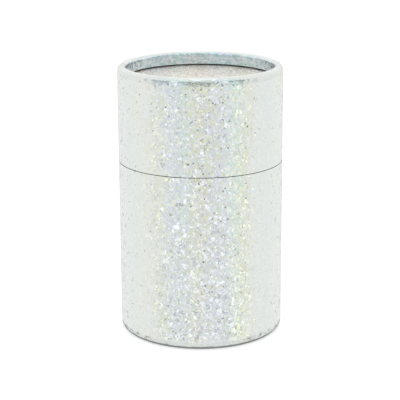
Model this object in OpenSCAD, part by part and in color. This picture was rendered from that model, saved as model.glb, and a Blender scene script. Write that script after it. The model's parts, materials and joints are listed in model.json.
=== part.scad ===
// Cylindrical gift tube box with a lift-off lid, rolled rims and a recessed disc in each end.
// Lengths are in millimetres, Z is up, and the closed box stands on Z = 0 with its axis on Z.
// A base tube holds a glued-in neck, and the lid slides down over that neck until it meets the base.

/* [Tube] */
// Outside diameter of the wrapped tube
tube_d = 73; // [60:1:110]
// Height of the closed box from foot to crest
total_h = 120; // [100:1:220]
// Height of the lid from its open edge to its crest
lid_h = 42.2; // [38:0.1:60]
// Dark gap left between the lid's edge and the base's edge
seam_gap = 0.3; // [0.1:0.05:0.6]

/* [Board and paper] */
// Thickness of the wound board of the lid and base tubes
core_t = 1.3; // [0.8:0.1:1.8]
// Thickness of the foil paper wrapped round the tubes
wrap_t = 0.2; // [0.1:0.05:0.4]
// Thickness of the board of the two end discs
disc_t = 1.5; // [1:0.1:3]
// Thickness of the foil paper on the outside of each end disc
facing_t = 0.2; // [0.1:0.05:0.4]
// Thickness of the lining paper inside the lid, on the discs and in the neck
lining_t = 0.15; // [0.1:0.05:0.3]
// Thickness of the film of glue between two layers
glue_film = 0.03; // [0.02:0.01:0.06]

/* [Rolled rims] */
// Width of the slot that the rolled edge leaves between wall and return
curl_slot = 0.85; // [0.3:0.05:1.5]
// Width of the flat ring on a rim's crest, which the box stands on
crest_flat = 0.25; // [0.1:0.05:0.3]
// Depth from the crest of a rim to the face of its end disc
recess = 6.3; // [5:0.1:10]
// Air gap between the cut end of the rolled edge and the disc
curl_gap = 0.7; // [0.2:0.1:1]

/* [Neck] */
// Height of neck that stands above the base tube
neck_rise = 22; // [10:1:25]
// Thickness of the board of the neck
neck_core_t = 1.1; // [0.8:0.1:1.8]
// Running clearance round the neck inside the lid
neck_clearance = 0.23; // [0.15:0.01:0.4]
// Length of cover paper turned down inside the neck's mouth
turn_in = 12; // [6:1:20]
// Gap where the neck's lining paper butts against the turned-in paper
butt_gap = 0.3; // [0.1:0.1:1]

/* [Lap seam] */
// Width of foil paper that overlaps where its two edges meet
lap_w = 7; // [4:1:12]
// Turn of the lap seam round the axis, counted from +X
lap_turn = 97; // [0:1:359]

/* [Hidden] */
$fn = 96;
foil = [0.85, 0.88, 0.87];
board = [0.66, 0.60, 0.51];
lining = [0.95, 0.95, 0.93];

tube_r = tube_d / 2;
base_h = total_h - lid_h - seam_gap;

// The rim's layers are offsets of the slot inside the curl, so the wall keeps one thickness.
// The slot's outer corner is rounded, which gives the rim its soft outer corner.
wrap_in = core_t + glue_film;
wall_t = wrap_in + wrap_t;
slot_out_r = tube_r - wall_t;
slot_in_r = slot_out_r - curl_slot;
slot_round = curl_slot - crest_flat;
corner_r = slot_round + wall_t;
return_h = recess - curl_gap;

// The two end stacks, counted inwards from the crest of a rim.
disc_r = slot_out_r - glue_film;
disc_z = recess + facing_t + glue_film;
paper_z = disc_z + disc_t + glue_film;
stack_h = paper_z + lining_t;

// The lid's lining sets the bore that the neck runs in.
lid_bore_r = slot_out_r - glue_film - lining_t;
neck_out_r = lid_bore_r - neck_clearance;
neck_core_out_r = neck_out_r - lining_t - glue_film;
neck_core_in_r = neck_core_out_r - neck_core_t;
neck_bore_r = neck_core_in_r - glue_film - lining_t;
neck_z = stack_h + glue_film;
neck_top = base_h + neck_rise;
neck_core_top = neck_top - lining_t - glue_film;

// The base's own lining is thicker than the lid's, because it takes up the neck's clearance.
base_lining_out_r = slot_out_r - glue_film;
base_lining_in_r = neck_out_r + glue_film;

lap_angle = lap_w / tube_r * 180 / PI;

// A quarter ring, a corner of one layer, turned outwards or inwards from the slot.
module quarter_ring(hole_r, ring_r, outwards) {
    intersection() {
        difference() {
            circle(r = ring_r);
            if (hole_r > 0) circle(r = hole_r);
        }
        translate([outwards ? 0 : -ring_r, -ring_r]) square(ring_r);
    }
}

// One layer of a rolled wall's section, between two offsets from the slot inside the curl.
// wall_h is the height of the wall, and leg_h that of the return that stands inside it.
module curl_section(inner, outer, wall_h, leg_h) {
    band = outer - inner;
    translate([slot_out_r + inner, corner_r]) square([band, wall_h - corner_r]);
    translate([slot_in_r - outer, wall_t]) square([band, leg_h - wall_t]);
    translate([slot_in_r, wall_t - outer]) square([crest_flat, band]);
    translate([slot_in_r + crest_flat, corner_r])
        quarter_ring(slot_round + inner, slot_round + outer, true);
    translate([slot_in_r, wall_t]) quarter_ring(inner, outer, false);
}

// A tube wall whose lower end is rolled inwards and up again.
module curled_wall(inner, outer, wall_h) {
    rotate_extrude() curl_section(inner, outer, wall_h, return_h);
}

// The foil paper of one tube, with the strip where its end laps over its start.
module foil_wrap(wall_h) {
    curled_wall(wrap_in, wall_t, wall_h);
    rotate([0, 0, lap_turn - lap_angle / 2])
        rotate_extrude(angle = lap_angle) lap_section(wall_h);
}

// The lap is one more layer of paper on the outside of the wall, which stops at the rim's corner.
module lap_section(wall_h) {
    rooted = wrap_t / 2;
    translate([tube_r - rooted, corner_r]) square([rooted + wrap_t, wall_h - corner_r]);
}

module tube(out_r, in_r, h) {
    difference() {
        cylinder(r = out_r, h = h);
        translate([0, 0, -1]) cylinder(r = in_r, h = h + 2);
    }
}

// The lid's pieces are drawn rim down, as the base's are, and mirrored to the top of the box.
module as_lid() {
    translate([0, 0, total_h]) mirror([0, 0, 1]) children();
}

module base_core() {
    color(board) curled_wall(0, core_t, base_h);
}

module base_wrap() {
    color(foil) foil_wrap(base_h);
}

module base_disc_facing() {
    color(foil) translate([0, 0, recess]) cylinder(r = disc_r, h = facing_t);
}

module base_disc() {
    color(board) translate([0, 0, disc_z]) cylinder(r = disc_r, h = disc_t);
}

module base_floor_paper() {
    color(lining) translate([0, 0, paper_z]) cylinder(r = disc_r, h = lining_t);
}

module base_lining() {
    color(lining) translate([0, 0, neck_z])
        tube(base_lining_out_r, base_lining_in_r, base_h - neck_z);
}

module neck_core() {
    color(board) translate([0, 0, neck_z])
        tube(neck_core_out_r, neck_core_in_r, neck_core_top - neck_z);
}

// White paper that covers the neck outside, folds over its mouth and runs down inside it.
module neck_cover() {
    color(lining) rotate_extrude() {
        translate([neck_core_out_r + glue_film, neck_z])
            square([lining_t, neck_top - neck_z]);
        translate([neck_bore_r, neck_top - lining_t])
            square([neck_out_r - neck_bore_r, lining_t]);
        translate([neck_bore_r, neck_top - turn_in]) square([lining_t, turn_in]);
    }
}

module neck_lining() {
    color(lining) translate([0, 0, neck_z])
        tube(neck_bore_r + lining_t, neck_bore_r, neck_top - turn_in - butt_gap - neck_z);
}

module lid_core() {
    color(board) as_lid() curled_wall(0, core_t, lid_h);
}

module lid_wrap() {
    color(foil) as_lid() foil_wrap(lid_h);
}

module lid_disc_facing() {
    color(foil) as_lid() translate([0, 0, recess]) cylinder(r = disc_r, h = facing_t);
}

module lid_disc() {
    color(board) as_lid() translate([0, 0, disc_z]) cylinder(r = disc_r, h = disc_t);
}

module lid_disc_paper() {
    color(lining) as_lid() translate([0, 0, paper_z]) cylinder(r = disc_r, h = lining_t);
}

module lid_lining() {
    color(lining) as_lid() translate([0, 0, neck_z])
        tube(lid_bore_r + lining_t, lid_bore_r, lid_h - neck_z);
}

base_core();
base_wrap();
base_disc_facing();
base_disc();
base_floor_paper();
base_lining();
neck_core();
neck_cover();
neck_lining();
lid_core();
lid_wrap();
lid_disc_facing();
lid_disc();
lid_disc_paper();
lid_lining();
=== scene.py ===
# %% [markdown]
# # A round paper gift tube in glitter foil
#
# A gift tube is three paper tubes and two discs. The base tube holds a narrower neck, and the lid slides
# down over that neck. Both outer tubes are wrapped in foil paper, and one end of each is rolled inwards,
# which makes the fat round rim with a disc sunk inside it.
#
# The construction comes in as a finished model at its real size. This script gives it its looks: the foil
# paper as a rolled sheet, the sparkle of its flakes, the plain papers inside, and a small white studio with
# a room for the foil to mirror. All lengths are in metres, Z is up, and the closed tube stands on Z = 0
# with its axis on Z.

# %% Load the model
import json
import math

import bmesh
import bpy
from mathutils import Matrix, Vector


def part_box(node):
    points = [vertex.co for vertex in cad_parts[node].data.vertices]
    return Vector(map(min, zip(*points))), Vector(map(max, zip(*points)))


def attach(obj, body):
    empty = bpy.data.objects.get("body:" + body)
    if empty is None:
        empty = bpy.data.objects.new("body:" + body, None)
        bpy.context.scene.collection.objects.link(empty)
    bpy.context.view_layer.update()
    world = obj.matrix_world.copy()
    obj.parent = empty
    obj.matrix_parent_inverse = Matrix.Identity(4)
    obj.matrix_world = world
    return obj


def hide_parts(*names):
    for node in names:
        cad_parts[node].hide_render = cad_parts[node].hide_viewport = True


MM = 0.001

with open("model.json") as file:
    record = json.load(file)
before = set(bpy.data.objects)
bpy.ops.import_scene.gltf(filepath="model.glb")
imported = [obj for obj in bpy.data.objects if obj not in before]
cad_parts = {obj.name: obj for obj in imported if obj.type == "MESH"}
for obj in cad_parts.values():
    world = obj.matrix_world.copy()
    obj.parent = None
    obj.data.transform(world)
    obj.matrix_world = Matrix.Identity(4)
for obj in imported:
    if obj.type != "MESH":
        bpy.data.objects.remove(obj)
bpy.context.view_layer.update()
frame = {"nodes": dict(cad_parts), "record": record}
print("nodes:", ", ".join(sorted(frame["nodes"])))

# %% [markdown]
# ## Sizes
#
# The sizes that the model already has are read from it, so the looks follow when the model changes. A
# node's box gives them: the lid's foil gives the height of its open edge, and the disc's foil how deep the
# recess is. Only what no box shows is written down here, such as the slot inside the rolled rim.

# %% Read the sizes from the model
base_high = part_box("base_wrap")[1]
lid_low, lid_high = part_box("lid_wrap")
disc_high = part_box("lid_disc_facing")[1]

TUBE_R = base_high.x
TOTAL_H = lid_high.z
BASE_H = base_high.z
LID_H = TOTAL_H - lid_low.z
GLUE = 0.03 * MM
PAPER = TUBE_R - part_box("base_core")[1].x - GLUE
CURL_SLOT = 0.85 * MM
CREST_FLAT = 0.25 * MM
CURL_GAP = 0.7 * MM
WALL = TUBE_R - disc_high.x - GLUE
RIM_W = 2 * WALL + CURL_SLOT
RECESS = TOTAL_H - disc_high.z
CORNER_R = WALL + CURL_SLOT - CREST_FLAT
RETURN_H = RECESS - CURL_GAP
LAP_W = 7 * MM
LAP_TURN = math.radians(97)
print(f"tube {2 * TUBE_R / MM:.1f} mm across, lid {LID_H / MM:.1f} mm, rim {RIM_W / MM:.2f} mm wide")

# %% [markdown]
# ## Camera
#
# The photograph was taken with a long lens from a little above, about 16 degrees. The lens and distance
# were found by matching the curves of the seam, the foot and the rim, because the way an ellipse opens
# from top to bottom tells how near the camera stood. A picture that is 400 pixels wide then needs a lens
# of 36 mm times the focal length in pixels over 400.

# %% Place the camera
PICTURE_PX = 400
FOCAL_PX = 1350.0
AXIS_PX = 200.75
SENSOR_WIDTH = 36
CAMERA_DISTANCE = 608.2 * MM
CAMERA_HEIGHT_ANGLE = math.radians(15.56)
CAMERA_ROLL = math.radians(-0.267)
LOOK_AT_Z = 58.0 * MM

sideways = (PICTURE_PX / 2 - AXIS_PX) * CAMERA_DISTANCE / FOCAL_PX
target = Vector((sideways, 0, LOOK_AT_Z))
away = Vector((0, -math.cos(CAMERA_HEIGHT_ANGLE), math.sin(CAMERA_HEIGHT_ANGLE)))

camera_data = bpy.data.cameras.new("camera")
camera_data.sensor_width = SENSOR_WIDTH
camera_data.lens = SENSOR_WIDTH * FOCAL_PX / PICTURE_PX
camera_data.clip_start = 10 * MM
camera = bpy.data.objects.new("camera", camera_data)
bpy.context.scene.collection.objects.link(camera)
turned = away.to_track_quat("Z", "Y").to_matrix().to_4x4() @ Matrix.Rotation(CAMERA_ROLL, 4, "Z")
camera.matrix_world = Matrix.Translation(target + away * CAMERA_DISTANCE) @ turned
bpy.context.scene.camera = camera
print(f"lens {camera_data.lens:.1f} mm")

# %% [markdown]
# ## Building node trees in code
#
# Materials and Geometry Nodes are both trees of nodes joined by links. They could be drawn by hand, but a
# tree that is written in code can be read, changed and built again. One helper adds a node and fills its
# sockets: a number is typed in, and another node's output is wired in. The others do the same for
# arithmetic, so that a line of code reads like its formula.

# %% A helper that adds a node
def socket_of(node, key):
    """An input socket by its number, its identifier or its name."""
    if isinstance(key, int):
        return node.inputs[key]
    for socket in node.inputs:
        if socket.identifier == key:
            return socket
    return node.inputs[key]


def add(tree, kind, inputs=None, **settings):
    """Adds a node, sets its settings, and fills or wires its inputs."""
    node = tree.nodes.new(kind)
    for name, value in settings.items():
        setattr(node, name, value)
    for key, value in (inputs or {}).items():
        socket = socket_of(node, key)
        if isinstance(value, bpy.types.NodeSocket):
            tree.links.new(value, socket)
        else:
            socket.default_value = value
    return node


print("a node takes one line")

# %% Helpers for numbers, vectors and colours
def calc(tree, operation, *values):
    """One step of arithmetic on numbers."""
    return add(tree, "ShaderNodeMath", dict(enumerate(values)), operation=operation).outputs[0]


def vector_calc(tree, operation, *values, scale=None):
    """One step of arithmetic on vectors."""
    inputs = dict(enumerate(values))
    if scale is not None:
        inputs["Scale"] = scale
    node = add(tree, "ShaderNodeVectorMath", inputs, operation=operation)
    return node.outputs["Value" if operation == "LENGTH" else "Vector"]


def parts_of(tree, vector):
    """The X, Y and Z of a vector."""
    return add(tree, "ShaderNodeSeparateXYZ", {0: vector}).outputs


def joined(tree, **parts):
    """A vector from its X, Y and Z. A part that isn't given is 0."""
    return add(tree, "ShaderNodeCombineXYZ", parts).outputs[0]


def between(tree, value, low, high, to_low=0.0, to_high=1.0, smooth=True):
    """Runs from to_low to to_high as value goes from low to high, and stays there outside them."""
    kind = "SMOOTHSTEP" if smooth else "LINEAR"
    limits = {"Value": value, "From Min": low, "From Max": high, "To Min": to_low, "To Max": to_high}
    return add(tree, "ShaderNodeMapRange", limits, interpolation_type=kind).outputs["Result"]


def blend(tree, factor, first, second):
    """A colour that goes from first to second with factor."""
    inputs = {"Factor_Float": factor, "A_Color": first, "B_Color": second}
    node = add(tree, "ShaderNodeMix", inputs, data_type="RGBA")
    return next(out for out in node.outputs if out.identifier == "Result_Color")


print("sums take one line each")

# %% Helpers for noise, ramps and new materials
def noise(tree, place, size, detail=0.0, dimensions="3D"):
    """Soft noise between 0 and 1, with spots about as wide as size, and finer ones where detail is more."""
    inputs = {"Vector": place, "Scale": 1 / size, "Detail": detail}
    return add(tree, "ShaderNodeTexNoise", inputs, noise_dimensions=dimensions).outputs["Fac"]


def ramp_of(tree, value, stops):
    """A colour ramp with these stops, each a position from 0 to 1 and a colour."""
    ramp = add(tree, "ShaderNodeValToRGB", {0: value})
    elements = ramp.color_ramp.elements
    while len(elements) < len(stops):
        elements.new(0.5)
    for element, (position, colour) in zip(elements, stops):
        element.position = position
        element.color = (*colour, 1)
    return ramp.outputs["Color"]


def empty_material(name):
    """A material with nothing in its tree."""
    material = bpy.data.materials.new(name)
    material.use_nodes = True
    material.node_tree.nodes.clear()
    return material, material.node_tree


def new_finish(name):
    """A material with one Principled shader wired to its output."""
    material, tree = empty_material(name)
    shader = add(tree, "ShaderNodeBsdfPrincipled")
    add(tree, "ShaderNodeOutputMaterial", {"Surface": shader.outputs[0]})
    return material, tree, shader


print("helpers ready")

# %% [markdown]
# ## The sparkle of the foil
#
# Glitter foil paper is a film pressed with a fine grating in small flakes, each turned its own way. A
# flake mirrors its own bit of the room, so beside a pale flake lies a dark one or a bright glint. A flat
# pattern of pale and dark spots would look right from one side only. So each flake here is a small mirror
# too: its colour is plain, and its surface normal leans.
#
# A Voronoi texture cuts the sheet into cells, and its Color output is one random number triple for each
# cell. That triple is the flake's lean, and White Noise turns it into more random numbers, for its tint
# and its gloss. Real flakes are not all alike, so cells of two sizes are mixed: whole flakes, and crumbs
# between them. Crumbs lean more steeply. Whole flakes lean down, where the room is bright, and glint.

# %% Flakes of two sizes
WHOLE_FLAKES = 0.42
WHOLE_DOWN = 0.28
WHOLE_STEEP, CRUMB_STEEP = 0.9, 1.35


def cells(tree, place, size):
    """A random number triple for each cell of a pattern with cells about as wide as size."""
    pattern = add(tree, "ShaderNodeTexVoronoi", {"Vector": place, "Scale": 1 / size}, voronoi_dimensions="2D")
    return pattern.outputs["Color"]


def flakes(tree, place, flake, crumb):
    """What holds all over one flake: its lean, three more chances, its luck and its steepness."""
    large, small = cells(tree, place, flake), cells(tree, place, crumb)
    whole = calc(tree, "LESS_THAN", parts_of(tree, large)["Z"], WHOLE_FLAKES)
    own = blend(tree, whole, small, large)
    more = add(tree, "ShaderNodeTexWhiteNoise", {"Vector": own}, noise_dimensions="3D").outputs
    down = joined(tree, Z=calc(tree, "MULTIPLY", whole, -WHOLE_DOWN))
    steep = calc(tree, "MULTIPLY_ADD", whole, WHOLE_STEEP - CRUMB_STEEP, CRUMB_STEEP)
    return vector_calc(tree, "ADD", own, down), parts_of(tree, more["Color"]), more["Value"], steep


print(f"{WHOLE_FLAKES:.0%} of the sheet is whole flakes")

# %% [markdown]
# ### How a flake leans
#
# The random triple runs from 0 to 1, so its middle is taken off and the rest is a small arrow that points
# any way. It is added to the surface normal, scaled by the flake's luck and steepness. The middle of the
# third number is set a little high, so that flakes lean down rather than up.

# %% Lean a normal
LEAN_MIDDLE = (0.5, 0.5, 0.55)


def leaned(tree, normal, lean, luck, steep, least, most):
    """The normal, leaned by a flake's own triple. Its luck takes it from least to most."""
    arrow = vector_calc(tree, "SUBTRACT", lean, LEAN_MIDDLE)
    amount = calc(tree, "MULTIPLY", between(tree, luck, 0.0, 1.0, least, most), steep)
    arrow = vector_calc(tree, "SCALE", arrow, scale=amount)
    return vector_calc(tree, "NORMALIZE", vector_calc(tree, "ADD", normal, arrow))


print("the middle of the random triple:", LEAN_MIDDLE)

# %% [markdown]
# ### Silver with a hint of rainbow
#
# The grating splits light into weak colours, which run through the rainbow in bands down the tube. Most of
# that colour comes from what the foil mirrors, so it is made with the studio, at the end of this file. The
# film itself is a plain silver here, a shade lighter or darker from flake to flake. It has a trace of its
# band's colour, and a few flakes have more, each from a place of its own in the rainbow. A high power of a
# random number makes such flakes rare.

# %% The colour of a flake
RAINBOW = [
    (0.00, (0.62, 0.60, 0.98)),
    (0.20, (0.52, 0.86, 0.92)),
    (0.36, (0.62, 0.93, 0.66)),
    (0.50, (0.97, 0.93, 0.40)),
    (0.62, (0.98, 0.68, 0.62)),
    (0.78, (0.80, 0.80, 0.82)),
    (1.00, (0.62, 0.60, 0.98)),
]
RAINBOW_WIDE = 24.2 * MM
BEND_SIZE, BEND = 26 * MM, 0.5
STRAY = 0.46
BAND_TRACE = 0.05
RARITY = 4.0


def rainbow(tree, phase):
    """The colour at a place in the rainbow, where 0 and 1 are the same place."""
    return ramp_of(tree, calc(tree, "FRACT", phase), RAINBOW)


def flake_colour(tree, place, chance, silver, phase, tint_share, grain):
    """Silver with the grain of its flakes, a trace of its band and, on a few flakes, a tint."""
    band = calc(tree, "MULTIPLY", parts_of(tree, place)["X"], 1 / RAINBOW_WIDE)
    bend = noise(tree, place, BEND_SIZE, detail=1.0)
    band = calc(tree, "ADD", band, calc(tree, "MULTIPLY", bend, BEND))
    band = calc(tree, "ADD", band, phase)
    own = calc(tree, "MULTIPLY_ADD", chance["X"], STRAY, band)
    tone = calc(tree, "MULTIPLY_ADD", chance["Z"], -2 * grain, 1 + grain)
    shade = vector_calc(tree, "SCALE", silver, scale=tone)
    soft = blend(tree, BAND_TRACE, shade, rainbow(tree, band))
    strength = calc(tree, "MULTIPLY", calc(tree, "POWER", chance["Y"], RARITY), tint_share)
    return blend(tree, strength, soft, rainbow(tree, own))


print(f"one rainbow is {RAINBOW_WIDE / MM:.0f} mm wide")

# %% [markdown]
# ### What rolling does to the paper
#
# Where the paper goes over the rim, its flakes are pressed flat, so the rim looks smooth and shiny beside
# the wall. On the return, the part that stands inside the rim, they come back by half. Fine creases run
# over the rim, and just under its shoulder the paper sags. That slope mirrors a darker part of the room,
# which draws the dark line round the rim. Along that line the colour is also a little darker: painted
# shade. The return lies in the shade of the rim, and its colour carries a painted cool shade, in spots of
# mint and lavender.
#
# All of this depends on the place along the sheet, the second number of its UV map, which is 0 where the
# wall ends and the rim's corner begins. Map Range fades each effect in and out there. The creases and the
# sag are bump, which is enough for slopes as shallow as these.

# %% Places along the sheet
ROLLED = (-0.9 * MM, 0.3 * MM)
SAGGED = (-1.5 * MM, 0.2 * MM)
# Where the painted shade along the dark line under the rim fades in and out.
LINE_SHADE_IN, LINE_SHADE_OUT = (-1.5 * MM, -0.8 * MM), (0.6 * MM, 1.5 * MM)
RETURN_FROM = (CORNER_R + WALL) * math.pi / 2 + CREST_FLAT
TURNED_IN = (RETURN_FROM - 1.6 * MM, RETURN_FROM - 0.2 * MM)
FREED = (RETURN_FROM - 1.0 * MM, RETURN_FROM)


def spots(tree, across, wide, high, detail):
    """Noise with spots of this width round the tube and this height along the sheet."""
    x, y = calc(tree, "DIVIDE", across["X"], wide), calc(tree, "DIVIDE", across["Y"], high)
    return noise(tree, joined(tree, X=x, Y=y), 1.0, detail, dimensions="2D")


print(f"the return starts {RETURN_FROM / MM:.1f} mm past the wall")

# %% The rim's flakes, creases and colour
ROLLED_LEAN, RETURN_LEAN = 0.12, 0.5
CREASE_WIDE, CREASE_LONG, CREASE_DEEP = 2.4 * MM, 2.6 * MM, 0.28 * MM
CALM_INSIDE = 0.3
SAG = 0.10 * MM
# Painted shade on the return: a cool cast in spots of mint and lavender.
SHADE_SPOT_WIDE, SHADE_SPOT_HIGH = 3.2 * MM, 1.7 * MM
SHADE_SPOT_EDGE = (0.40, 0.60)
PAINTED_SHADE_MINT, PAINTED_SHADE_LAVENDER = (0.76, 0.93, 1.00, 1), (1.08, 1.08, 1.22, 1)
# Painted shade: how much darker the colour is along the dark line under the rim's shoulder.
PAINTED_LINE_SHADE = 0.05


def rim_lean(tree, along):
    """The share of its lean that a flake keeps: all on the wall, little on the rim, half on the return."""
    pressed = between(tree, along, *ROLLED, 1.0, ROLLED_LEAN)
    return calc(tree, "ADD", pressed, between(tree, along, *FREED, 0.0, RETURN_LEAN - ROLLED_LEAN))


def rim_normal(tree, across):
    """The normal with the creases of the rolled part and the sag under its shoulder."""
    along = across["Y"]
    crease = calc(tree, "SUBTRACT", spots(tree, across, CREASE_WIDE, CREASE_LONG, detail=0.5), 0.5)
    inside = between(tree, along, *TURNED_IN)
    share = calc(tree, "MULTIPLY_ADD", inside, -CALM_INSIDE, between(tree, along, *ROLLED))
    sag = between(tree, along, *SAGGED, 0.0, SAG / CREASE_DEEP, smooth=False)
    height = calc(tree, "SUBTRACT", calc(tree, "MULTIPLY", crease, share), sag)
    bump = {"Height": height, "Strength": 1.0, "Distance": CREASE_DEEP}
    return add(tree, "ShaderNodeBump", bump).outputs["Normal"]


def rim_colour_and_shade(tree, across, colour):
    """The colour with the painted cool shade of the return, and painted shade along the dark line under the
    rim.
    """
    # Painted cool shade on the return, in spots of mint and lavender.
    mottle = spots(tree, across, SHADE_SPOT_WIDE, SHADE_SPOT_HIGH, detail=1.0)
    cast = blend(tree, between(tree, mottle, *SHADE_SPOT_EDGE), PAINTED_SHADE_MINT, PAINTED_SHADE_LAVENDER)
    inside = between(tree, across["Y"], *TURNED_IN)
    colour = blend(tree, inside, colour, vector_calc(tree, "MULTIPLY", colour, cast))
    # Painted shade along the dark line under the rim's shoulder.
    line_shade = between(tree, across["Y"], *LINE_SHADE_IN)
    line_shade = calc(tree, "MULTIPLY", line_shade, between(tree, across["Y"], *LINE_SHADE_OUT, 1.0, 0.0))
    tone = calc(tree, "MULTIPLY_ADD", line_shade, -PAINTED_LINE_SHADE, 1.0)
    return vector_calc(tree, "SCALE", colour, scale=tone)


print(f"creases {CREASE_DEEP / MM:.2f} mm deep, sag {SAG / MM:.2f} mm")

# %% [markdown]
# ### The foil paper itself
#
# One function puts the parts together. The wall's foil reads its place from the sheet's own UV map in real
# metres, so that no flake is stretched over the rim. A flat disc has no such map and needs none, because
# its Object coordinates are already metres on its face. What is the same all over, such as the metal and
# the clear coat, is set on the shader's own sockets.

# %% Foil paper
COAT_ROUGHNESS = 0.12


def on_the_sheet(tree):
    """The place on a rolled sheet: metres round the tube, and metres past the end of the wall."""
    return add(tree, "ShaderNodeUVMap", uv_map="UVMap").outputs["UV"]


def in_space(tree):
    """The place on a piece that isn't a rolled sheet, in metres."""
    return add(tree, "ShaderNodeTexCoord").outputs["Object"]


def foil_paper(name, place_of, silver, flake, crumb, phase, tint_share, grain, least, most, smooth, rough,
               metallic, coat, has_rim):
    """Glitter foil paper. place_of gives the place on it, and has_rim says that it is rolled."""
    material, tree, shader = new_finish(name)
    place = place_of(tree)
    lean, chance, luck, steep = flakes(tree, place, flake, crumb)
    colour = flake_colour(tree, place, chance, silver, phase, tint_share, grain)
    if has_rim:
        across = parts_of(tree, place)
        colour = rim_colour_and_shade(tree, across, colour)
        steep = calc(tree, "MULTIPLY", steep, rim_lean(tree, across["Y"]))
        normal = rim_normal(tree, across)
    else:
        normal = add(tree, "ShaderNodeNewGeometry").outputs["Normal"]
    tree.links.new(colour, shader.inputs["Base Color"])
    tree.links.new(between(tree, chance["Z"], 0.0, 1.0, smooth, rough), shader.inputs["Roughness"])
    tree.links.new(leaned(tree, normal, lean, luck, steep, least, most), shader.inputs["Normal"])
    shader.inputs["Metallic"].default_value = metallic
    shader.inputs["Coat Weight"].default_value = coat
    shader.inputs["Coat Roughness"].default_value = COAT_ROUGHNESS
    return material


print("foil paper is one function")

# %% [markdown]
# ### The wall's foil and the disc's
#
# The two papers differ only in numbers. The wall's has large flakes and a good gloss. The disc's is finer,
# warmer and duller: its flakes are smaller, rougher and more uneven in tone.
#
# Of the numbers, phase moves the rainbow along and tint_share is the most that a flake is tinted. grain is
# how far the silver's tone goes from flake to flake, least and most are how far flakes lean, and smooth
# and rough are their roughness.

# %% Two foil papers
WALL_FOIL = {
    "silver": (0.81, 0.85, 0.815), "flake": 1.5 * MM, "crumb": 0.72 * MM,
    "phase": 0.0, "tint_share": 0.08, "grain": 0.03,
    "least": 0.07, "most": 0.42, "smooth": 0.05, "rough": 0.16,
    "metallic": 0.8, "coat": 0.2, "has_rim": True,
}
DISC_FOIL = {
    "silver": (0.91, 0.835, 0.75), "flake": 0.9 * MM, "crumb": 0.6 * MM,
    "phase": 0.35, "tint_share": 0.4, "grain": 0.17,
    "least": 0.2, "most": 0.8, "smooth": 0.25, "rough": 0.42,
    "metallic": 0.5, "coat": 0.0, "has_rim": False,
}

foil = foil_paper("glitter_foil", on_the_sheet, **WALL_FOIL)
disc_foil = foil_paper("disc_glitter_foil", in_space, **DISC_FOIL)
print(foil.name, "has", len(foil.node_tree.nodes), "nodes,", disc_foil.name, len(disc_foil.node_tree.nodes))

# %% [markdown]
# ## The papers and boards under the foil
#
# Where the foil paper is cut, its white core shows. The tube's board is wound from kraft plies, and its
# cut end shows them as fine rings. The lining papers are plain white, with the faint mottle of paper.
#
# These are matte, so a rough shader with a little fibre in its bump is enough. A fine noise is the fibre
# and a wide one the clouds in the tone. The rings come from the distance to the axis, which the X and Y of
# the Object coordinates give.

# %% Matte papers
FIBRE, CLOUD = 0.35 * MM, 9 * MM
FIBRE_LIFT = 0.35
TONE_SPREAD = (0.2, 0.8)
RING_SHARE = 0.22
MATTE_ROUGHNESS, MATTE_SPECULAR = 0.82, 0.35


def rings(tree, place, ply):
    """A wave from -1 to 1 with one ring for each layer of board."""
    across = parts_of(tree, place)
    from_axis = vector_calc(tree, "LENGTH", joined(tree, X=across["X"], Y=across["Y"]))
    return calc(tree, "SINE", calc(tree, "MULTIPLY", from_axis, 2 * math.pi / ply))


def matte_paper(name, colour, mottle, bump=0.04 * MM, ply=None):
    """Matte paper or board. mottle is how far its tone wanders, bump its depth, ply one layer of board."""
    material, tree, shader = new_finish(name)
    place = in_space(tree)
    fibre = noise(tree, place, FIBRE, detail=4.0)
    cloud = noise(tree, place, CLOUD, detail=2.0)
    tone = calc(tree, "MULTIPLY_ADD", cloud, 0.5, calc(tree, "MULTIPLY", fibre, 0.5))
    if ply:
        tone = calc(tree, "MULTIPLY_ADD", rings(tree, place, ply), RING_SHARE, tone)
    dark = tuple(part * (1 - mottle) for part in colour) + (1,)
    colour = blend(tree, between(tree, tone, *TONE_SPREAD), dark, (*colour, 1))
    tree.links.new(colour, shader.inputs["Base Color"])
    surface = add(tree, "ShaderNodeBump", {"Height": fibre, "Strength": FIBRE_LIFT, "Distance": bump})
    tree.links.new(surface.outputs["Normal"], shader.inputs["Normal"])
    shader.inputs["Roughness"].default_value = MATTE_ROUGHNESS
    shader.inputs["Specular IOR Level"].default_value = MATTE_SPECULAR
    return material


white_paper = matte_paper("white_paper", (0.84, 0.84, 0.82), mottle=0.05)
paper_edge = matte_paper("paper_edge", (0.80, 0.80, 0.78), mottle=0.10)
tube_board = matte_paper("tube_board", (0.36, 0.365, 0.345), mottle=0.35, bump=0.08 * MM, ply=0.42 * MM)
disc_board = matte_paper("disc_board", (0.40, 0.385, 0.35), mottle=0.25, bump=0.08 * MM)
print(f"fibre {FIBRE / MM:.2f} mm, four matte finishes")

# %% [markdown]
# ## The foil paper as a rolled sheet
#
# The paper of each tube is one sheet, laid round the wall and rolled over the rim with the board. It could
# be a lathe shape, but then its two ends would not meet in a lap, and its rim would be as smooth as metal.
# Geometry Nodes follow the way it is made. A flat grid is the sheet: its columns are bent round the axis,
# and its rows are laid along the section, down the wall, round the rim and up the inside. The last columns
# climb one paper's thickness over the first, and the rolled part gets the fine pleats that paper makes
# when it is forced round a curve. The same tree makes the base's sheet and, turned over, the lid's.

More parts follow.
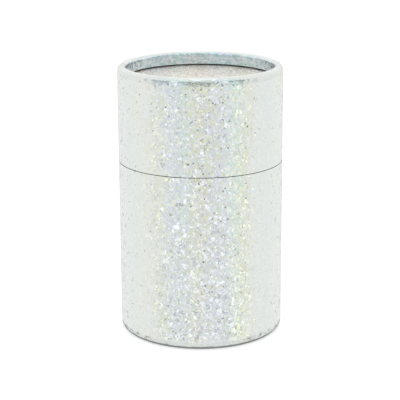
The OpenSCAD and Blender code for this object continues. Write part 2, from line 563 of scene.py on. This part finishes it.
# %% Start the tree and name its inputs
def geometry_tree(name, sizes):
    """An empty Geometry Nodes tree with a named input for each size, and one for each material."""
    tree = bpy.data.node_groups.new(name, "GeometryNodeTree")
    tree.interface.new_socket("Geometry", in_out="INPUT", socket_type="NodeSocketGeometry")
    tree.interface.new_socket("Geometry", in_out="OUTPUT", socket_type="NodeSocketGeometry")
    kinds = {float: "NodeSocketFloat", int: "NodeSocketInt", bpy.types.Material: "NodeSocketMaterial"}
    for label, value in sizes.items():
        tree.interface.new_socket(label, in_out="INPUT", socket_type=kinds[type(value)])
    return tree, tree.nodes.new("NodeGroupInput").outputs, tree.nodes.new("NodeGroupOutput")


SHEET = {
    "Tube Radius": TUBE_R, "Height": BASE_H, "Crest Level": 0.0, "Upwards": 1.0,
    "Corner Radius": CORNER_R, "Inner Corner": WALL, "Rim Width": RIM_W, "Return Height": RETURN_H,
    "Columns": 720, "Wall Rows": 6, "Rim Rows": 48,
    "Lap Start": 0.0, "Lap Width": LAP_W, "Lap Rise": 0.99 * PAPER, "Lap Slope": 1.6 * MM,
    "Draw Depth": 0.19 * MM, "Draw Length": 1.4 * MM, "Draw Past": 0.15 * MM,
    "Pleat Depth": 0.06 * MM, "Pleat Width": 1.5 * MM, "Seed": 3.0,
    "Foil": foil, "Cut Edge": paper_edge,
}
sheet_tree, size, sheet_out = geometry_tree("rolled_foil_sheet", SHEET)
print(len(SHEET), "inputs")

# %% [markdown]
# ### The section
#
# Seen cut through, the sheet runs down the wall, turns in under the rim and comes up the inside. Four
# points and a fillet make that line, and Sample Curve then gives the place at any length along it.

# %% The section of the wall and its rolled edge
SECTION_POINTS = 4
OUTER_CORNER = 1.0
CORNER_STEPS = 24

inner_r = calc(sheet_tree, "SUBTRACT", size["Tube Radius"], size["Rim Width"])
section_points = [
    (size["Tube Radius"], size["Height"]),
    (size["Tube Radius"], 0.0),
    (inner_r, 0.0),
    (inner_r, size["Return Height"]),
]
index = add(sheet_tree, "GeometryNodeInputIndex").outputs[0]
which = add(sheet_tree, "GeometryNodeIndexSwitch", {"Index": index}, data_type="VECTOR")
while len(which.index_switch_items) < SECTION_POINTS:
    which.index_switch_items.new()
for number, (r, z) in enumerate(section_points):
    sheet_tree.links.new(joined(sheet_tree, X=r, Z=z), which.inputs[number + 1])
line = add(sheet_tree, "GeometryNodeMeshLine", {"Count": SECTION_POINTS})
line = add(sheet_tree, "GeometryNodeSetPosition", {"Geometry": line.outputs[0], "Position": which.outputs[0]})
line = add(sheet_tree, "GeometryNodeMeshToCurve", {0: line.outputs[0]})
is_outer = calc(sheet_tree, "COMPARE", index, OUTER_CORNER, 0.5)
more_outside = calc(sheet_tree, "SUBTRACT", size["Corner Radius"], size["Inner Corner"])
fillet = calc(sheet_tree, "MULTIPLY_ADD", is_outer, more_outside, size["Inner Corner"])
section = add(sheet_tree, "GeometryNodeFilletCurve",
              {"Curve": line.outputs[0], "Count": CORNER_STEPS, "Radius": fillet}, mode="POLY")
section_length = add(sheet_tree, "GeometryNodeCurveLength", {0: section.outputs[0]}).outputs[0]
print(SECTION_POINTS, "points,", CORNER_STEPS, "steps in each corner")

# %% [markdown]
# ### Rows and columns
#
# The wall is straight, so a few rows do for it, and most of them are kept for the rim. There is one column
# more than the circle needs. It lies on the first one, and the narrow strip before it is the cut end of
# the paper, which stands up from the layer below by the paper's thickness.

# %% Lay the grid along the section
rows = calc(sheet_tree, "ADD", size["Wall Rows"], size["Rim Rows"])
grid = add(sheet_tree, "GeometryNodeMeshGrid", {
    "Size X": 1.0, "Size Y": 1.0,
    "Vertices X": calc(sheet_tree, "ADD", size["Columns"], 2.0),
    "Vertices Y": calc(sheet_tree, "ADD", rows, 1.0),
})
on_grid = parts_of(sheet_tree, grid.outputs["UV Map"])
wall_share = calc(sheet_tree, "DIVIDE", size["Wall Rows"], rows)
wall_length = calc(sheet_tree, "SUBTRACT", size["Height"], size["Corner Radius"])
plain_length = calc(sheet_tree, "SUBTRACT", wall_length, size["Draw Length"])
rim_length = calc(sheet_tree, "SUBTRACT", section_length, plain_length)
along = calc(
    sheet_tree, "ADD",
    between(sheet_tree, on_grid["Y"], 0.0, wall_share, 0.0, plain_length, smooth=False),
    between(sheet_tree, on_grid["Y"], wall_share, 1.0, 0.0, rim_length, smooth=False),
)
column = calc(sheet_tree, "MULTIPLY", on_grid["X"], calc(sheet_tree, "ADD", size["Columns"], 1.0))
turn = calc(sheet_tree, "DIVIDE", calc(sheet_tree, "MINIMUM", column, size["Columns"]), size["Columns"])
print("the grid has", SHEET["Columns"] + 2, "columns and", SHEET["Wall Rows"] + SHEET["Rim Rows"] + 1, "rows")

# %% [markdown]
# ### The lap
#
# The end of the sheet lies over its start. It climbs one paper's thickness on a short slope, stays there
# for the lap's width and ends in the cut. On the rim the lap is pressed down, so the lift fades out round
# the corner.

# %% Lift the end of the sheet over its start
is_last = calc(sheet_tree, "GREATER_THAN", column, calc(sheet_tree, "ADD", size["Columns"], 0.5))
round_length = calc(sheet_tree, "MULTIPLY", size["Tube Radius"], 2 * math.pi)
arc = calc(sheet_tree, "MULTIPLY", turn, round_length)
lap_from = calc(sheet_tree, "SUBTRACT", round_length, size["Lap Width"])
climb = between(sheet_tree, arc, calc(sheet_tree, "SUBTRACT", lap_from, size["Lap Slope"]), lap_from)
corner_arc = calc(sheet_tree, "MULTIPLY", size["Corner Radius"], math.pi / 2)
past_corner = calc(sheet_tree, "ADD", wall_length, corner_arc)
pressed = between(sheet_tree, along, wall_length, past_corner, 1.0, 0.0)
climb = calc(sheet_tree, "MULTIPLY", climb, calc(sheet_tree, "SUBTRACT", 1.0, is_last))
lift = calc(sheet_tree, "MULTIPLY", calc(sheet_tree, "MULTIPLY", climb, pressed), size["Lap Rise"])
print(f"the lap is {LAP_W / MM:.0f} mm wide")

# %% [markdown]
# ### Pleats
#
# Round the rim the sheet has to get shorter, so the paper gathers into fine pleats that run across it. A
# noise that changes quickly round the tube and slowly along the section gives them. It reads the direction
# from the axis and not the angle, so that it meets itself where the circle closes. The pleats only go
# inwards, square to the section, because the rim may not grow.

# %% The depth of the pleats
PLEAT_STRETCH = 2.6
PLEATS_FROM = 0.3
PLEAT_EDGE = (0.38, 0.72)

angle = calc(sheet_tree, "MULTIPLY_ADD", turn, 2 * math.pi, size["Lap Start"])
way_x, way_y = calc(sheet_tree, "COSINE", angle), calc(sheet_tree, "SINE", angle)
round_the_tube = joined(
    sheet_tree,
    X=calc(sheet_tree, "MULTIPLY", way_x, size["Tube Radius"]),
    Y=calc(sheet_tree, "MULTIPLY", way_y, size["Tube Radius"]),
    Z=calc(sheet_tree, "DIVIDE", along, PLEAT_STRETCH),
)
pleat_place = vector_calc(sheet_tree, "SCALE", round_the_tube,
                          scale=calc(sheet_tree, "DIVIDE", 1.0, size["Pleat Width"]))
pleat = add(sheet_tree, "ShaderNodeTexNoise",
            {"Vector": pleat_place, "W": size["Seed"], "Scale": 1.0, "Detail": 1.5}, noise_dimensions="4D")
first_pleat = calc(sheet_tree, "MULTIPLY_ADD", size["Corner Radius"], -PLEATS_FROM, wall_length)
pleated = between(sheet_tree, along, first_pleat, past_corner)
depth = calc(sheet_tree, "MULTIPLY", between(sheet_tree, pleat.outputs["Fac"], *PLEAT_EDGE), pleated)
depth = calc(sheet_tree, "MULTIPLY", depth, size["Pleat Depth"])
print(f"pleats {SHEET['Pleat Depth'] / MM:.2f} mm deep, {SHEET['Pleat Width'] / MM:.1f} mm apart")

# %% [markdown]
# ### The draw under the rim
#
# When the edge is rolled, the paper is drawn in a little just under the shoulder, where the board gives.
# That makes a shallow slope at the end of the wall, which on the lid faces slightly up. The eye reads it
# at once, because it mirrors another part of the room than the wall does. The slope is straight, so that
# all of it mirrors the same part, and the depth fades out again round the corner.

# %% Draw the end of the wall in
deepest = calc(sheet_tree, "ADD", wall_length, size["Draw Past"])
half_way = calc(sheet_tree, "MULTIPLY_ADD", corner_arc, 0.5, wall_length)
drawn_in = between(sheet_tree, along, plain_length, deepest, smooth=False)
let_out = between(sheet_tree, along, half_way, past_corner, 1.0, 0.0)
drawn = calc(sheet_tree, "MULTIPLY", drawn_in, let_out)
depth = calc(sheet_tree, "MULTIPLY_ADD", drawn, size["Draw Depth"], depth)
print(f"drawn in by {SHEET['Draw Depth'] / MM:.2f} mm over {SHEET['Draw Length'] / MM:.1f} mm")

# %% [markdown]
# ### Every point in its place
#
# Sample Curve gives the radius and height of a point of the section, and its tangent says which way is
# inwards there. The cosine and sine of the angle then carry the radius round the axis. The UV map stores
# the paper's own sizes before it is bent: metres round the tube, and metres past the end of the wall. The
# base's faces are turned over, so that they look outwards. The lid's already do, as it is upside down.

# %% Bend the grid
here = add(sheet_tree, "GeometryNodeSampleCurve", {"Curves": section.outputs[0], "Length": along},
           mode="LENGTH")
place = parts_of(sheet_tree, here.outputs["Position"])
heading = parts_of(sheet_tree, here.outputs["Tangent"])
radius = calc(sheet_tree, "MULTIPLY_ADD", depth, heading["Z"], calc(sheet_tree, "ADD", place["X"], lift))
height = calc(sheet_tree, "SUBTRACT", place["Z"], calc(sheet_tree, "MULTIPLY", depth, heading["X"]))
bent = joined(
    sheet_tree,
    X=calc(sheet_tree, "MULTIPLY", radius, way_x),
    Y=calc(sheet_tree, "MULTIPLY", radius, way_y),
    Z=calc(sheet_tree, "MULTIPLY_ADD", height, size["Upwards"], size["Crest Level"]),
)
on_paper = joined(sheet_tree, X=arc, Y=calc(sheet_tree, "SUBTRACT", along, wall_length))
sheet = add(sheet_tree, "GeometryNodeStoreNamedAttribute",
            {"Geometry": grid.outputs["Mesh"], "Name": "UVMap", "Value": on_paper},
            data_type="FLOAT2", domain="CORNER")
sheet = add(sheet_tree, "GeometryNodeSetPosition", {"Geometry": sheet.outputs[0], "Position": bent})
stands_up = calc(sheet_tree, "GREATER_THAN", size["Upwards"], 0.0)
sheet = add(sheet_tree, "GeometryNodeFlipFaces", {"Mesh": sheet.outputs[0], "Selection": stands_up})
print("every point has its place")

# %% [markdown]
# ### Close the sheet
#
# The narrow strip at the lap shows the paper's cut edge, so it gets the edge's material, and all the rest
# gets the foil. Merge by Distance then joins the last column to the first, which closes the ring.

# %% Give out the materials and finish the tree
WELD = 0.002 * MM

cut_strip = calc(sheet_tree, "GREATER_THAN", column, size["Columns"])
sheet = add(sheet_tree, "GeometryNodeSetMaterial", {"Geometry": sheet.outputs[0], "Material": size["Foil"]})
sheet = add(sheet_tree, "GeometryNodeSetMaterial",
            {"Geometry": sheet.outputs[0], "Selection": cut_strip, "Material": size["Cut Edge"]})
sheet = add(sheet_tree, "GeometryNodeMergeByDistance", {"Geometry": sheet.outputs[0], "Distance": WELD})
sheet = add(sheet_tree, "GeometryNodeSetShadeSmooth", {"Geometry": sheet.outputs[0]})
sheet = add(sheet_tree, "GeometryNodeRealizeInstances", {"Geometry": sheet.outputs[0]})
sheet_tree.links.new(sheet.outputs[0], sheet_out.inputs[0])
print(len(sheet_tree.nodes), "nodes in the tree")

# %% [markdown]
# ### From tree to paper
#
# The tree makes a sheet with no thickness. A Solidify modifier after it gives the sheet its 0.2 mm, inwards
# from the visible face, and gives the cut edges the second material. The result is then taken as a plain
# mesh, which is what the rest of the scene and other programs can use.

# %% Run the tree
SHARP = math.radians(40)


def made_by(tree, name, sizes, thickness):
    """Runs a tree with these inputs, gives its sheet a thickness, and returns a plain mesh object."""
    source = bpy.data.objects.new(name + "_source", bpy.data.meshes.new(name + "_source"))
    bpy.context.scene.collection.objects.link(source)
    modifier = source.modifiers.new("sheet", "NODES")
    modifier.node_group = tree
    for item in tree.interface.items_tree:
        if item.item_type == "SOCKET" and item.in_out == "INPUT" and item.name in sizes:
            modifier[item.identifier] = sizes[item.name]
    paper = source.modifiers.new("thickness", "SOLIDIFY")
    paper.thickness = thickness
    paper.offset = -1
    paper.material_offset_rim = 1
    graph = bpy.context.evaluated_depsgraph_get()
    finished = source.evaluated_get(graph)
    mesh = bpy.data.meshes.new_from_object(finished, preserve_all_data_layers=True, depsgraph=graph)
    bpy.data.objects.remove(source)
    mesh.name = name
    if mesh.materials[0] is None:
        mesh.materials.pop(index=0)
    mesh.set_sharp_from_angle(angle=SHARP)
    made = bpy.data.objects.new(name, mesh)
    bpy.context.scene.collection.objects.link(made)
    return made


lap_end = LAP_TURN + LAP_W / TUBE_R / 2
base_sizes = {**SHEET, "Lap Start": lap_end}
lid_sizes = {**base_sizes, "Height": LID_H, "Crest Level": TOTAL_H, "Upwards": -1.0, "Seed": 8.0}
base_sheet = made_by(sheet_tree, "base_foil_sheet", base_sizes, PAPER)
lid_sheet = made_by(sheet_tree, "lid_foil_sheet", lid_sizes, PAPER)
print("made", base_sheet.name, "and", lid_sheet.name)

# %% [markdown]
# ### Check the sheets and put them on
#
# A closed solid has two faces at every edge, and a positive volume when its faces point outwards. So both
# are counted before the sheets take the place of the model's plain ones, each on its own part of the box.

# %% Count open edges and put the sheets in place
def closed_facts(piece):
    """How many edges of a mesh have not exactly two faces, and its volume."""
    check = bmesh.new()
    check.from_mesh(piece.data)
    count = sum(len(edge.link_faces) != 2 for edge in check.edges)
    volume = check.calc_volume(signed=True)
    check.free()
    return count, volume


for sheet_piece, node, body in ((base_sheet, "base_wrap", "base"), (lid_sheet, "lid_wrap", "lid")):
    edges, volume = closed_facts(sheet_piece)
    print(sheet_piece.name, len(sheet_piece.data.polygons), "faces,", edges, "open edges,",
          f"{volume / MM ** 3:.0f} mm3,", [material.name for material in sheet_piece.data.materials])
    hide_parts(node)
    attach(sheet_piece, body)

# %% [markdown]
# ## Finishes on the model's own pieces
#
# The discs, boards and linings have the right shape already, so they only get their finish, in the
# material slots that they came with. The record of the model says which finish each piece has.

# %% Give each piece its finish
FINISHES = {
    "foil_paper": foil, "disc_foil_paper": disc_foil, "white_paper": white_paper,
    "tube_board": tube_board, "disc_board": disc_board,
}
for part in frame["record"]["subparts"]:
    piece = frame["nodes"][part["node"]]
    for slot in piece.material_slots:
        slot.material = FINISHES[part["material_slot"]]
print("finished", len(frame["nodes"]), "pieces")

# %% [markdown]
# ## Studio
#
# The tube stands on a white floor before a white background. Both could be lit until they are white, but
# that would wash out the pale foil. So they only look white: Light Path tells a ray from the camera from
# the light that falls on the object, and only that ray sees the extra glow. The floor is matte beneath its
# glow, so it still takes the tube's soft shadow.

# %% White floor
FLOOR_HALF = 6.0
FLOOR_TONE = (0.9, 0.9, 0.9, 1)
FLOOR_GLOW = 0.46


def stage_piece(name, shape, material, **sizes):
    """A piece of the studio, made from one of bmesh's plain shapes."""
    mesh = bpy.data.meshes.new(name)
    build = bmesh.new()
    shape(build, **sizes)
    build.to_mesh(mesh)
    build.free()
    mesh.materials.append(material)
    made = bpy.data.objects.new(name, mesh)
    bpy.context.scene.collection.objects.link(made)
    return made


def floor_paint(name):
    """A pale matte surface that the camera sees a little brighter, as a lit sweep is."""
    material, tree = empty_material(name)
    seen = add(tree, "ShaderNodeLightPath").outputs["Is Camera Ray"]
    matte = add(tree, "ShaderNodeBsdfDiffuse", {"Color": FLOOR_TONE})
    glow = add(tree, "ShaderNodeEmission", {"Strength": calc(tree, "MULTIPLY", seen, FLOOR_GLOW)})
    both = add(tree, "ShaderNodeAddShader", {0: matte.outputs[0], 1: glow.outputs[0]})
    add(tree, "ShaderNodeOutputMaterial", {"Surface": both.outputs[0]})
    return material


floor = stage_piece("floor", bmesh.ops.create_grid, floor_paint("floor"),
                    x_segments=1, y_segments=1, size=FLOOR_HALF)
print("floor", 2 * FLOOR_HALF, "m wide")

# %% [markdown]
# ### Background
#
# The world does the same with one number. It is white, a strength of 1, to the camera and in mirrors and
# glass, but it lights the object at less, so that a pale paper renders about as it is coloured.

# %% White background
ROOM_LIGHT = 0.70
WHITE = (1, 1, 1, 1)

world = bpy.data.worlds.new("world")
bpy.context.scene.world = world
world.use_nodes = True
world_tree = world.node_tree
world_tree.nodes.clear()
path = add(world_tree, "ShaderNodeLightPath").outputs
seen = calc(world_tree, "MAXIMUM", path["Is Camera Ray"], path["Is Glossy Ray"])
seen = calc(world_tree, "MAXIMUM", seen, path["Is Transmission Ray"])
strength = between(world_tree, seen, 0.0, 1.0, ROOM_LIGHT, 1.0, smooth=False)
background = add(world_tree, "ShaderNodeBackground", {"Color": WHITE, "Strength": strength})
add(world_tree, "ShaderNodeOutputWorld", {"Surface": background.outputs[0]})
print("the world lights the object at", ROOM_LIGHT)

# %% [markdown]
# ### The room that the foil mirrors
#
# Foil shows the room more than itself, so the room is half of the picture. It could be built of cards and
# curtains, but each would need a place of its own. It is easier as one large ball round the tube, whose
# glow is a pattern of direction alone. Only mirrors see the ball: it isn't in the picture, and it adds no
# light to matte paper.
#
# A mirror doubles every turn. A point of the wall that is turned 20 degrees from the camera mirrors what
# stands 40 degrees to that side, and the sides of the tube mirror what is behind it. So the front of the
# ball is busy and the back is nearly even, which makes the tube sparkle in the middle and lie quiet at its
# sides. Both directions are counted from the middle of the tube, in degrees: turn from straight in front,
# and rise above the horizon.

# %% Patterns of direction
def by_turn(tree, turn, stops):
    """A colour that changes with the turn, between stops in degrees."""
    stops = [(degrees / 360 + 0.5, colour) for degrees, colour in stops]
    return ramp_of(tree, calc(tree, "MULTIPLY_ADD", turn, 0.5 / math.pi, 0.5), stops)


def by_rise(tree, rise, stops):
    """A colour that changes with the rise, between stops in degrees."""
    stops = [(degrees / 180 + 0.5, colour) for degrees, colour in stops]
    return ramp_of(tree, calc(tree, "MULTIPLY_ADD", rise, 1 / math.pi, 0.5), stops)


print("a pattern is read by turn or by rise")

# %% [markdown]
# ### Stripes of weak colour
#
# A render engine doesn't split light as a grating does. So the weak rainbow stands in the room instead, as
# upright stripes, and the flakes bring it onto the tube in bands. The wall mirrors the room 10 to 22
# degrees below the horizon, the lid its upper part and the base its lower part, so each has stripes of
# its own, parted at the height that the seam mirrors.

# %% Stripes in front of the lid and of the base
NEUTRAL, LAVENDER = (0.98, 0.99, 0.99), (0.86, 0.85, 1.07)
GOLD, YELLOW = (1.0, 0.95, 0.24), (1.0, 0.96, 0.66)
MINT, PINK = (0.72, 1.0, 0.92), (1.0, 0.86, 0.80)
LID_STRIPES = [
    (-88, NEUTRAL), (-82, YELLOW), (-64, YELLOW), (-56, NEUTRAL), (-48, LAVENDER), (-30, LAVENDER),
    (-24, MINT), (-16, MINT), (-11, GOLD), (20, GOLD), (26, PINK), (34, NEUTRAL),
    (42, MINT), (54, MINT), (62, NEUTRAL), (70, YELLOW), (84, YELLOW), (92, NEUTRAL),
]
BASE_STRIPES = [
    (-84, NEUTRAL), (-68, YELLOW), (-56, YELLOW), (-48, NEUTRAL), (-36, LAVENDER), (-22, LAVENDER),
    (-14, NEUTRAL), (-4, NEUTRAL), (0, PINK), (4, NEUTRAL), (10, LAVENDER), (26, LAVENDER),
    (46, NEUTRAL), (56, YELLOW), (68, YELLOW), (80, NEUTRAL),
]
SEAM_RISE = (math.radians(-15.6), math.radians(-13.6))


def stripes_of(tree, turn, rise):
    """The stripes' colour: the lid's above the height that the seam mirrors, the base's below it."""
    above = between(tree, rise, *SEAM_RISE)
    return blend(tree, above, by_turn(tree, turn, BASE_STRIPES), by_turn(tree, turn, LID_STRIPES))


print(len(LID_STRIPES), "and", len(BASE_STRIPES), "stops of colour")

# %% [markdown]
# ### Bands of height
#
# What a flake mirrors depends on how it leans, so the room has bands of height. Flat flakes mirror the calm
# band just below the horizon. Flakes that lean down reach the bright band under it, and those that lean
# most the dark one under that. Just above the horizon the room is dark, and it is mostly the slope under
# the rim that looks there, which draws the thin dark line round it. The rim's crest mirrors the bright top.
#
# Each row below is a rise in degrees, then how bright the room is there, how far its patches swing round
# that, and how much of the stripes' colour they take. A colour ramp carries all three, as its red, green
# and blue. Red holds half the brightness, because it can be more than 1.

# %% Bands of height in front
BANDS = [
    (-90, 0.95, 0.20, 0.60), (-64, 0.95, 0.20, 0.60),
    (-58, 0.68, 0.36, 0.70), (-43, 0.68, 0.36, 0.70),
    (-39, 1.10, 0.29, 0.90), (-28, 1.10, 0.29, 0.90),
    (-23, 0.94, 0.12, 0.48), (4, 0.94, 0.12, 0.90),
    (6, 0.38, 0.80, 0.20), (27, 0.38, 0.80, 0.20),
    (34, 0.95, 0.14, 0.30), (64, 0.90, 0.06, 0.10),
    (78, 1.38, 0.06, 0.00), (90, 1.38, 0.06, 0.00),
]


def band_at(tree, rise):
    """Half the brightness, the swing and the share of colour at a rise, as Red, Green and Blue."""
    stops = [(degrees, (tone / 2, swing, tint)) for degrees, tone, swing, tint in BANDS]
    return add(tree, "ShaderNodeSeparateColor", {0: by_rise(tree, rise, stops)}).outputs


print(len(BANDS), "stops of height")

# %% [markdown]
# ### Patches
#
# If the bands were smooth, two flakes side by side would look alike. Noise breaks them into patches a few
# degrees wide, so that a small difference in lean is a large one in tone. Some patches take the stripes'
# colour and some stay neutral. In the lively bands a few are openings, much brighter than the rest, and a
# few small ones are glints of pure colour.

# %% The front of the room
PATCH, OPENING = math.radians(4.5), math.radians(5)
HUE, GLINT = math.radians(6.0), math.radians(2.4)
PATCH_EDGE, OPENING_EDGE = (0.34, 0.66), (0.60, 0.66)
HUE_EDGE, GLINT_EDGE = (0.36, 0.64), (0.60, 0.67)
LIVELY = (0.30, 0.40)
OPENING_LIGHT = 0.72
HUE_SHARE, GLINT_SHARE = (0.15, 0.65), (0.0, 0.85)
COOL, COOL_RISE = (0.93, 1.0, 1.08, 1), (math.radians(-2), math.radians(3))
CENTRE, CENTRE_TONE = (math.radians(8), math.radians(55)), 0.93


def front_tone(tree, way, band):
    """How bright the front of the room is, with its patches and openings."""
    swing = between(tree, noise(tree, way, PATCH), *PATCH_EDGE, -1.0, 1.0)
    swing = calc(tree, "MULTIPLY", swing, band["Green"])
    half_tone = calc(tree, "MULTIPLY_ADD", swing, band["Red"], band["Red"])
    opening = between(tree, noise(tree, way, OPENING), *OPENING_EDGE)
    opening = calc(tree, "MULTIPLY", opening, between(tree, band["Green"], *LIVELY))
    return calc(tree, "MULTIPLY_ADD", half_tone, 2.0, calc(tree, "MULTIPLY", opening, OPENING_LIGHT))


def front_colour(tree, way, turn, rise, band):
    """The colour of the front of the room: neutral, striped or glinting, and cool above the horizon."""
    stripes = stripes_of(tree, turn, rise)
    share = between(tree, noise(tree, way, HUE), *HUE_EDGE, *HUE_SHARE)
    colour = blend(tree, calc(tree, "MULTIPLY", share, band["Blue"]), (*NEUTRAL, 1), stripes)
    pure = vector_calc(tree, "MULTIPLY", stripes, stripes)
    share = between(tree, noise(tree, way, GLINT), *GLINT_EDGE, *GLINT_SHARE)
    colour = blend(tree, calc(tree, "MULTIPLY", share, band["Blue"]), colour, pure)
    cast = blend(tree, between(tree, rise, *COOL_RISE), WHITE, COOL)
    return vector_calc(tree, "MULTIPLY", colour, cast)


def front_room(tree, way, turn, rise):
    """The front of the room, a little dimmer in the middle, where the camera stands."""
    band = band_at(tree, rise)
    dip = between(tree, calc(tree, "ABSOLUTE", turn), *CENTRE, CENTRE_TONE, 1.0)
    tone = calc(tree, "MULTIPLY", front_tone(tree, way, band), dip)
    return vector_calc(tree, "SCALE", front_colour(tree, way, turn, rise, band), scale=tone)


print(f"patches {math.degrees(PATCH):.1f} degrees wide")

# %% [markdown]
# ### The back, and the ball itself
#
# The back has no stripes. It is one even tone with a trace of the patches. Only far behind the tube, where
# the far side of the rim mirrors it, does it change with the rise: a little dim at the horizon, and bright
# above it, which gives the crest its pale line. Front and back fade into each other where the wall has
# turned by 32 to 41 degrees.

# %% The back of the room and the ball
BACK_BANDS = [(-90, 0.87), (-10, 0.87), (-5, 0.79), (6, 0.79), (22, 1.12), (90, 1.12)]
FAR_BACK = (math.radians(135), math.pi)
FRONT_ENDS = (math.radians(64), math.radians(82))
EVEN_EDGE, EVEN_TONE = (0.36, 0.64), (0.97, 1.02)
TUBE_MIDDLE = (0, 0, TOTAL_H / 2)
ROOM_REACH = 3.0


def back_room(tree, way, turn, rise):
    """The even back of the room, which changes with the rise only far behind the tube."""
    stops = [(degrees, (tone / 2, tone / 2, tone / 2)) for degrees, tone in BACK_BANDS]
    half_tone = add(tree, "ShaderNodeSeparateColor", {0: by_rise(tree, rise, stops)}).outputs["Red"]
    change = calc(tree, "SUBTRACT", calc(tree, "MULTIPLY", half_tone, 2.0), 1.0)
    far = between(tree, calc(tree, "ABSOLUTE", turn), *FAR_BACK)
    tone = calc(tree, "MULTIPLY_ADD", far, change, 1.0)
    trace = between(tree, noise(tree, way, PATCH), *EVEN_EDGE, *EVEN_TONE)
    return vector_calc(tree, "SCALE", (1.0, 1.0, 1.0), scale=calc(tree, "MULTIPLY", tone, trace))


def room_glow(name):
    """The room by direction, as seen from the middle of the tube."""
    material, tree = empty_material(name)
    place = add(tree, "ShaderNodeTexCoord").outputs["Object"]
    way = vector_calc(tree, "NORMALIZE", vector_calc(tree, "SUBTRACT", place, TUBE_MIDDLE))
    parts = parts_of(tree, way)
    turn = calc(tree, "ARCTAN2", parts["X"], calc(tree, "MULTIPLY", parts["Y"], -1.0))
    rise = calc(tree, "ARCSINE", parts["Z"])
    in_front = between(tree, calc(tree, "ABSOLUTE", turn), *FRONT_ENDS, 1.0, 0.0)
    colour = blend(tree, in_front, back_room(tree, way, turn, rise), front_room(tree, way, turn, rise))
    glow = add(tree, "ShaderNodeEmission", {"Color": colour})
    add(tree, "ShaderNodeOutputMaterial", {"Surface": glow.outputs[0]})
    return material


def mirrored_only(piece):
    """Keeps a piece of the studio out of everything but mirrors."""
    piece.visible_camera = False
    piece.visible_diffuse = False
    piece.visible_shadow = False
    piece.visible_transmission = False


room = stage_piece("room", bmesh.ops.create_icosphere, room_glow("room"), subdivisions=4, radius=ROOM_REACH)
mirrored_only(room)
floor.visible_glossy = False
print("the foil mirrors", room.name, ROOM_REACH, "m away")

# %% [markdown]
# ### The dark line under the foot
#
# The floor would hide the lower half of the room from the foil, so mirrors don't see the floor. The rim of
# the foot still has to mirror its own shade there, which is the thin dark line at the bottom of the
# photograph. So a disc at floor level gives mirrors that shade: dark under the foot, and pale a millimetre
# further out.

# %% The shade that the foot mirrors
SHADE_DARK, SHADE_PALE = 0.24, 0.95
SHADE_FROM, SHADE_TO = TUBE_R + 0.1 * MM, TUBE_R + 1.5 * MM
SHADE_REACH = TUBE_R + 4 * MM


def foot_shade(name):
    """The shade under the foot, by the distance from the axis."""
    material, tree = empty_material(name)
    parts = parts_of(tree, add(tree, "ShaderNodeTexCoord").outputs["Object"])
    from_axis = vector_calc(tree, "LENGTH", joined(tree, X=parts["X"], Y=parts["Y"]))
    tone = between(tree, from_axis, SHADE_FROM, SHADE_TO, SHADE_DARK, SHADE_PALE)
    glow = add(tree, "ShaderNodeEmission", {"Strength": tone})
    add(tree, "ShaderNodeOutputMaterial", {"Surface": glow.outputs[0]})
    return material


contact = stage_piece("contact_shade", bmesh.ops.create_circle, foot_shade("contact_shade"),
                      cap_ends=True, radius=SHADE_REACH, segments=64)
mirrored_only(contact)
print(f"the foot mirrors {contact.name}, {2 * SHADE_REACH / MM:.0f} mm across")

# %% [markdown]
# ### Lamps
#
# The world gives most of the light, soft and even from all sides. Two tall strips in front add a little
# shape, and a box above and behind lights the recess. Flakes would mirror that box as hard white dots, so
# it is left out of the mirrors.

# %% Two strips and a top box
STRIP_WIDE, STRIP_TALL, STRIP_POWER = 0.14, 0.6, 0.16
TOP_WIDE, TOP_POWER = 0.6, 0.9
LEFT_PLACE, RIGHT_PLACE, TOP_PLACE = (-0.51, -0.70, 0.40), (0.42, -0.76, 0.40), (0.0, 0.35, 0.9)


def softbox(name, place, width, height, power):
    """A rectangular lamp that faces the tube."""
    data = bpy.data.lights.new(name, "AREA")
    data.shape = "RECTANGLE"
    data.size, data.size_y = width, height
    data.energy = power
    lamp = bpy.data.objects.new(name, data)
    bpy.context.scene.collection.objects.link(lamp)
    place = Vector(place)
    facing = (place - target).to_track_quat("Z", "Y").to_matrix().to_4x4()
    lamp.matrix_world = Matrix.Translation(place) @ facing
    return lamp


softbox("left_strip", LEFT_PLACE, STRIP_WIDE, STRIP_TALL, STRIP_POWER)
softbox("right_strip", RIGHT_PLACE, STRIP_WIDE, STRIP_TALL, STRIP_POWER)
top_box = softbox("top_box", TOP_PLACE, TOP_WIDE, TOP_WIDE, TOP_POWER)
top_box.visible_glossy = False
print("lamps:", ", ".join(light.name for light in bpy.data.lights))

# %% [markdown]
# ## Colour management
#
# The Standard view shows a colour as it is written.

# %% Finish
bpy.context.scene.view_settings.view_transform = "Standard"
